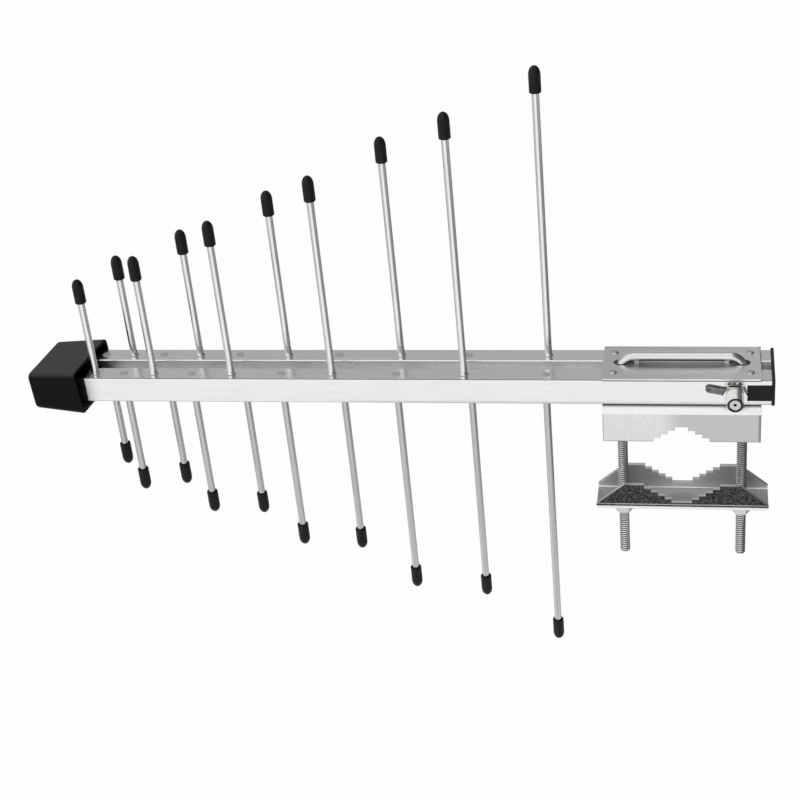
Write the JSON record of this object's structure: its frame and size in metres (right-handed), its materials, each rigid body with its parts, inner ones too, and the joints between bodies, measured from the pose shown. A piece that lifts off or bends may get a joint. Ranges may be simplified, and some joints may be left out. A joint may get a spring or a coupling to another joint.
{
  "type": "tv antenna",
  "caption": "Log-periodic television antenna: twin square booms with alternating rods, a moulded front cap and a toothed clamp that grips a round bar.",
  "frame": {"origin": "centre of the clamp, on the axis of the gripped bar", "axes": "+X along the booms from the front cap towards the clamp end, +Y across them from the near boom to the far one, along the gripped bar, +Z along the rods from the grip towards the booms and the top plate"},
  "size_m": [0.4395, 0.0544, 0.3704],
  "materials": {
    "boom_aluminium": "drawn mill finish, satin",
    "rod_aluminium": "drawn bright",
    "black_rubber": "satin moulded rubber",
    "black_plastic": "semi-matt moulded plastic",
    "plate_steel": "zinc plated, satin",
    "bracket_steel": "zinc plated, rolled and slightly mottled",
    "bright_zinc": "bright zinc",
    "nickel_plate": "nickel plated brass",
    "white_insulator": "moulded polyethylene",
    "contact_metal": "spring contact, dull",
    "tinned_brass": "tin plated",
    "cable_jacket": "extruded jacket"
  },
  "bodies": {
    "antenna": {"boom_near": "boom_aluminium", "boom_far": "boom_aluminium", "rod_01_up": "rod_aluminium", "rod_01_down": "rod_aluminium", "rod_02_up": "rod_aluminium", "rod_02_down": "rod_aluminium", "rod_03_up": "rod_aluminium", "rod_03_down": "rod_aluminium", "rod_04_up": "rod_aluminium", "rod_04_down": "rod_aluminium", "rod_05_up": "rod_aluminium", "rod_05_down": "rod_aluminium", "rod_06_up": "rod_aluminium", "rod_06_down": "rod_aluminium", "rod_07_up": "rod_aluminium", "rod_07_down": "rod_aluminium", "rod_08_up": "rod_aluminium", "rod_08_down": "rod_aluminium", "rod_09_up": "rod_aluminium", "rod_09_down": "rod_aluminium", "rod_10_up": "rod_aluminium", "rod_10_down": "rod_aluminium", "tip_01_up": "black_rubber", "tip_01_down": "black_rubber", "tip_02_up": "black_rubber", "tip_02_down": "black_rubber", "tip_03_up": "black_rubber", "tip_03_down": "black_rubber", "tip_04_up": "black_rubber", "tip_04_down": "black_rubber", "tip_05_up": "black_rubber", "tip_05_down": "black_rubber", "tip_06_up": "black_rubber", "tip_06_down": "black_rubber", "tip_07_up": "black_rubber", "tip_07_down": "black_rubber", "tip_08_up": "black_rubber", "tip_08_down": "black_rubber", "tip_09_up": "black_rubber", "tip_09_down": "black_rubber", "tip_10_up": "black_rubber", "tip_10_down": "black_rubber", "front_cap": "black_plastic", "rear_plug": "black_plastic", "top_plate": "plate_steel", "plate_rivets": "plate_steel", "u_bolt": "bright_zinc", "upper_bracket": "bracket_steel", "socket_body": "nickel_plate", "socket_insulator": "white_insulator", "socket_contact": "contact_metal", "socket_nut": "nickel_plate", "star_washer": "bright_zinc", "ground_tag": "tinned_brass", "feed_cable": "cable_jacket", "feed_lug": "tinned_brass"},
    "jaw": {"lower_jaw": "bracket_steel", "clamp_nuts": "bright_zinc"}
  },
  "joints": [
    {"name": "jaw_slide", "type": "slide", "parent": "antenna", "child": "jaw", "axis": [0, 0, 1], "range_m": [-0.03, 0.03]}
  ]
}
